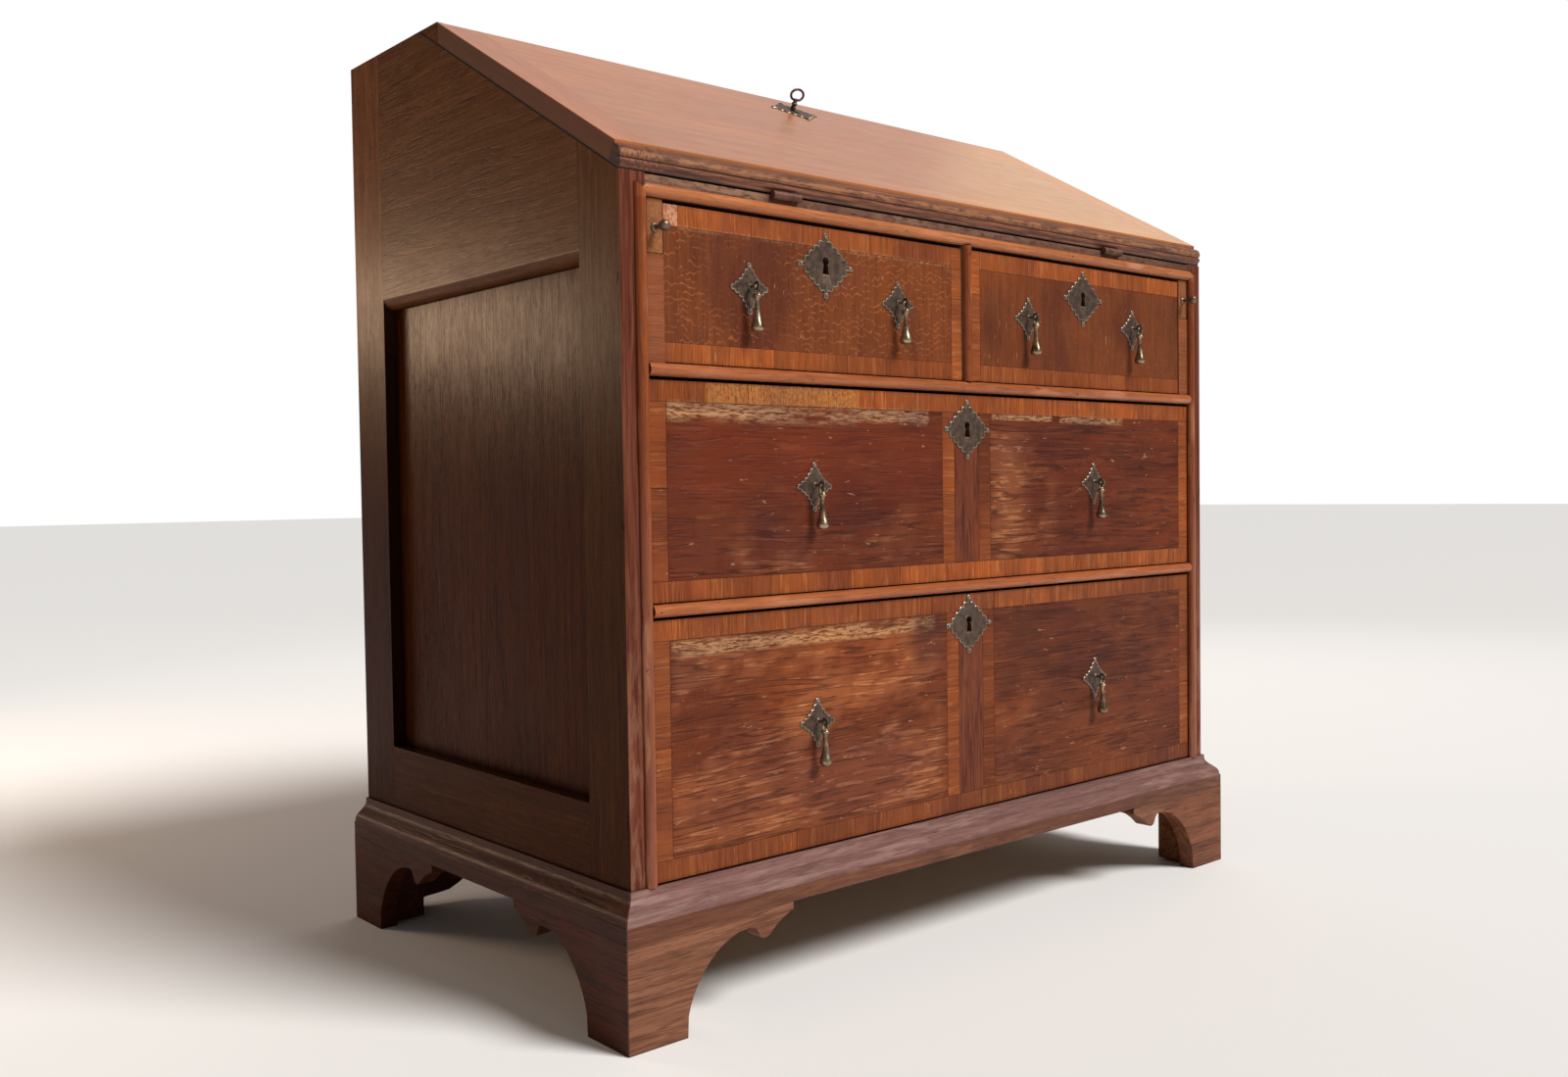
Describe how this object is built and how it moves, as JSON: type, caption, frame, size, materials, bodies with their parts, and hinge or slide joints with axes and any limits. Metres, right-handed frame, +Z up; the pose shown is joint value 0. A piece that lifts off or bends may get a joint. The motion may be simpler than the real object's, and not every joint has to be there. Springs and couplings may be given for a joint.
{
  "type": "slant-front bureau",
  "caption": "Slant-front oak writing bureau with frame-and-panel sides, short and long drawers, pull-out lopers, base moulding and bracket feet.",
  "frame": {"origin": "middle of the footprint, on the floor", "axes": "+Z up, +X to the sitter's right when facing the front, +Y from the drawer fronts to the back"},
  "size_m": [0.9568, 0.568, 1.002],
  "materials": {
    "oak_side": "polished old oak, very dark",
    "oak_panel": "polished old oak, very dark",
    "oak_top": "polished oak, golden brown",
    "oak_back": "rough dry oak boards",
    "oak_inside": "waxed oak",
    "oak_rail": "dark worn oak",
    "oak_lining": "dry unpolished oak",
    "bead": "glossy orange-red oak",
    "moulding": "grey-purple brown oak with dusty highlights",
    "foot": "brown oak with dark grain",
    "veneer_band": "crossbanded oak",
    "loper": "light orange oak",
    "fall_veneer": "glossy pink-tan oak",
    "inner_drawer": "waxed oak",
    "drawer_veneer": "dark red-brown oak with orange crossbanding",
    "hinge_iron": "rusty brown iron",
    "lock_iron": "dark iron",
    "bolt_iron": "worn steel",
    "key_iron": "dark forged iron",
    "brass_knob": "aged brass",
    "brass_plate": "dark bronzed brass with bright edges",
    "brass_drop": "polished aged brass"
  },
  "bodies": {
    "case": {"left_side_frame": "oak_side", "right_side_frame": "oak_side", "side_panels": "oak_panel", "top_board": "oak_top", "back_boards": "oak_back", "writing_board": "oak_inside", "front_rails": "oak_rail", "centre_partition": "oak_rail", "dust_boards": "oak_lining", "bead_mouldings": "bead", "bottom_board": "oak_lining", "base_moulding": "moulding", "front_left_foot": "foot", "front_right_foot": "foot", "back_left_foot": "foot", "back_right_foot": "foot", "loper_housings": "veneer_band", "case_hinge_leaves": "hinge_iron", "pigeonhole_case": "oak_inside", "pigeonhole_valances": "oak_inside"},
    "fall": {"fall_board": "fall_veneer", "fall_hinge_leaves": "hinge_iron", "fall_lock": "lock_iron", "fall_escutcheon": "brass_plate"},
    "fall_bolt": {"fall_bolt": "bolt_iron"},
    "key": {"key": "key_iron"},
    "left_loper": {"left_loper": "loper", "left_loper_knob": "brass_knob"},
    "right_loper": {"right_loper": "loper", "right_loper_knob": "brass_knob"},
    "left_inner_drawer": {"left_inner_drawer": "inner_drawer"},
    "right_inner_drawer": {"right_inner_drawer": "inner_drawer"},
    "left_drawer": {"left_drawer_front": "drawer_veneer", "left_drawer_box": "oak_lining", "left_drawer_brasses": "brass_plate", "left_drawer_lock": "lock_iron"},
    "left_drawer_bolt": {"left_drawer_bolt": "bolt_iron"},
    "left_drawer_drop_a": {"left_drawer_drop_a": "brass_drop"},
    "left_drawer_drop_b": {"left_drawer_drop_b": "brass_drop"},
    "right_drawer": {"right_drawer_front": "drawer_veneer", "right_drawer_box": "oak_lining", "right_drawer_brasses": "brass_plate", "right_drawer_lock": "lock_iron"},
    "right_drawer_bolt": {"right_drawer_bolt": "bolt_iron"},
    "right_drawer_drop_a": {"right_drawer_drop_a": "brass_drop"},
    "right_drawer_drop_b": {"right_drawer_drop_b": "brass_drop"},
    "upper_drawer": {"upper_drawer_front": "drawer_veneer", "upper_drawer_box": "oak_lining", "upper_drawer_brasses": "brass_plate", "upper_drawer_lock": "lock_iron"},
    "upper_drawer_bolt": {"upper_drawer_bolt": "bolt_iron"},
    "upper_drawer_drop_a": {"upper_drawer_drop_a": "brass_drop"},
    "upper_drawer_drop_b": {"upper_drawer_drop_b": "brass_drop"},
    "lower_drawer": {"lower_drawer_front": "drawer_veneer", "lower_drawer_box": "oak_lining", "lower_drawer_brasses": "brass_plate", "lower_drawer_lock": "lock_iron"},
    "lower_drawer_bolt": {"lower_drawer_bolt": "bolt_iron"},
    "lower_drawer_drop_a": {"lower_drawer_drop_a": "brass_drop"},
    "lower_drawer_drop_b": {"lower_drawer_drop_b": "brass_drop"}
  },
  "joints": [
    {"name": "fall_hinge", "type": "hinge", "parent": "case", "child": "fall", "pos_m": [0, -0.2663, 0.787], "axis": [1, 0, 0], "range_deg": [0, 150.14]},
    {"name": "key_turn", "type": "hinge", "parent": "fall", "child": "key", "pos_m": [0, 0.02117, 0.97511], "axis": [0, -0.4979, 0.8672], "range_deg": [0, 180]},
    {"name": "fall_bolt_slide", "type": "slide", "parent": "fall", "child": "fall_bolt", "axis": [0, 0.8672, 0.4979], "range_m": [0, 0.009]},
    {"name": "left_loper_slide", "type": "slide", "parent": "case", "child": "left_loper", "axis": [0, -1, 0], "range_m": [0, 0.3]},
    {"name": "right_loper_slide", "type": "slide", "parent": "case", "child": "right_loper", "axis": [0, -1, 0], "range_m": [0, 0.3]},
    {"name": "left_inner_drawer_slide", "type": "slide", "parent": "case", "child": "left_inner_drawer", "axis": [0, -1, 0], "range_m": [0, 0.15]},
    {"name": "right_inner_drawer_slide", "type": "slide", "parent": "case", "child": "right_inner_drawer", "axis": [0, -1, 0], "range_m": [0, 0.15]},
    {"name": "left_drawer_slide", "type": "slide", "parent": "case", "child": "left_drawer", "axis": [0, -1, 0], "range_m": [0, 0.34]},
    {"name": "left_drawer_bolt_slide", "type": "slide", "parent": "left_drawer", "child": "left_drawer_bolt", "axis": [0, 0, -1], "range_m": [-0.01, 0]},
    {"name": "left_drawer_drop_a_swing", "type": "hinge", "parent": "left_drawer", "child": "left_drawer_drop_a", "pos_m": [-0.3105, -0.2745, 0.696], "axis": [-1, 0, 0], "range_deg": [0, 95]},
    {"name": "left_drawer_drop_b_swing", "type": "hinge", "parent": "left_drawer", "child": "left_drawer_drop_b", "pos_m": [-0.1075, -0.2745, 0.696], "axis": [-1, 0, 0], "range_deg": [0, 95]},
    {"name": "right_drawer_slide", "type": "slide", "parent": "case", "child": "right_drawer", "axis": [0, -1, 0], "range_m": [0, 0.34]},
    {"name": "right_drawer_bolt_slide", "type": "slide", "parent": "right_drawer", "child": "right_drawer_bolt", "axis": [0, 0, -1], "range_m": [-0.01, 0]},
    {"name": "right_drawer_drop_a_swing", "type": "hinge", "parent": "right_drawer", "child": "right_drawer_drop_a", "pos_m": [0.1075, -0.2745, 0.696], "axis": [-1, 0, 0], "range_deg": [0, 95]},
    {"name": "right_drawer_drop_b_swing", "type": "hinge", "parent": "right_drawer", "child": "right_drawer_drop_b", "pos_m": [0.3105, -0.2745, 0.696], "axis": [-1, 0, 0], "range_deg": [0, 95]},
    {"name": "upper_drawer_slide", "type": "slide", "parent": "case", "child": "upper_drawer", "axis": [0, -1, 0], "range_m": [0, 0.38]},
    {"name": "upper_drawer_bolt_slide", "type": "slide", "parent": "upper_drawer", "child": "upper_drawer_bolt", "axis": [0, 0, -1], "range_m": [-0.01, 0]},
    {"name": "upper_drawer_drop_a_swing", "type": "hinge", "parent": "upper_drawer", "child": "upper_drawer_drop_a", "pos_m": [-0.2295, -0.2745, 0.5055], "axis": [-1, 0, 0], "range_deg": [0, 95]},
    {"name": "upper_drawer_drop_b_swing", "type": "hinge", "parent": "upper_drawer", "child": "upper_drawer_drop_b", "pos_m": [0.2295, -0.2745, 0.5055], "axis": [-1, 0, 0], "range_deg": [0, 95]},
    {"name": "lower_drawer_slide", "type": "slide", "parent": "case", "child": "lower_drawer", "axis": [0, -1, 0], "range_m": [0, 0.38]},
    {"name": "lower_drawer_bolt_slide", "type": "slide", "parent": "lower_drawer", "child": "lower_drawer_bolt", "axis": [0, 0, -1], "range_m": [-0.01, 0]},
    {"name": "lower_drawer_drop_a_swing", "type": "hinge", "parent": "lower_drawer", "child": "lower_drawer_drop_a", "pos_m": [-0.2295, -0.2745, 0.2685], "axis": [-1, 0, 0], "range_deg": [0, 95]},
    {"name": "lower_drawer_drop_b_swing", "type": "hinge", "parent": "lower_drawer", "child": "lower_drawer_drop_b", "pos_m": [0.2295, -0.2745, 0.2685], "axis": [-1, 0, 0], "range_deg": [0, 95]}
  ],
  "couplings": [
    {"joint": "key_turn", "follows": "fall_bolt_slide", "rad_per_m": 349.06}
  ]
}
